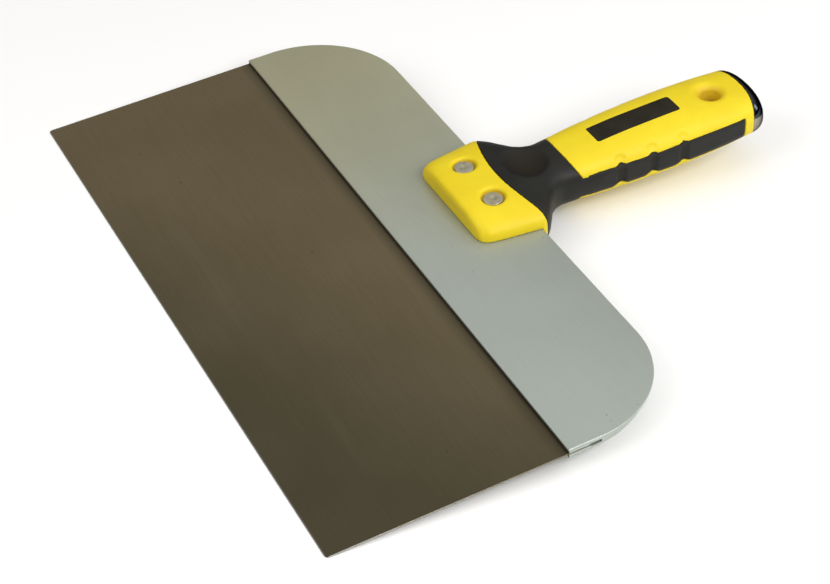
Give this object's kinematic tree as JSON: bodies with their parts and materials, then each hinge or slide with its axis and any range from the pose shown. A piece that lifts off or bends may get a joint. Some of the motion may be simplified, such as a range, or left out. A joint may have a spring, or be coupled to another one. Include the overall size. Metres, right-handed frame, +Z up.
{
  "type": "drywall taping knife",
  "caption": "Wide thin steel blade held in a slotted aluminium backing, with a riveted handle in hard and soft plastic ending in a steel cap.",
  "frame": {"origin": "centre of the bounding box in plan, on the table the tool lies on; it rests on the blade's working edge and the underside of the head", "axes": "+X along the working edge to the right, +Y from the working edge towards the handle, +Z up; the blade's top face leans 4.91 degrees from level, handle end up"},
  "size_m": [0.3, 0.2866, 0.0372],
  "materials": {
    "blade_steel": "tempered, bronze-brown, fine lengthwise grain",
    "backing_aluminium": "satin",
    "core_plastic": "satin yellow moulding",
    "grip_rubber": "matte black soft moulding",
    "rivet_steel": "dull plated",
    "washer_steel": "dull plated",
    "label_plastic": "plain dark panel",
    "cap_chrome": "polished",
    "pin_steel": "ribbed"
  },
  "bodies": {
    "root": {"blade": "blade_steel", "backing": "backing_aluminium", "handle_core": "core_plastic", "soft_grip": "grip_rubber", "rivet_left": "rivet_steel", "rivet_right": "rivet_steel", "rivet_washer_left": "washer_steel", "rivet_washer_right": "washer_steel", "label_panel": "label_plastic", "end_cap": "cap_chrome", "cap_pin": "pin_steel"}
  },
  "joints": []
}
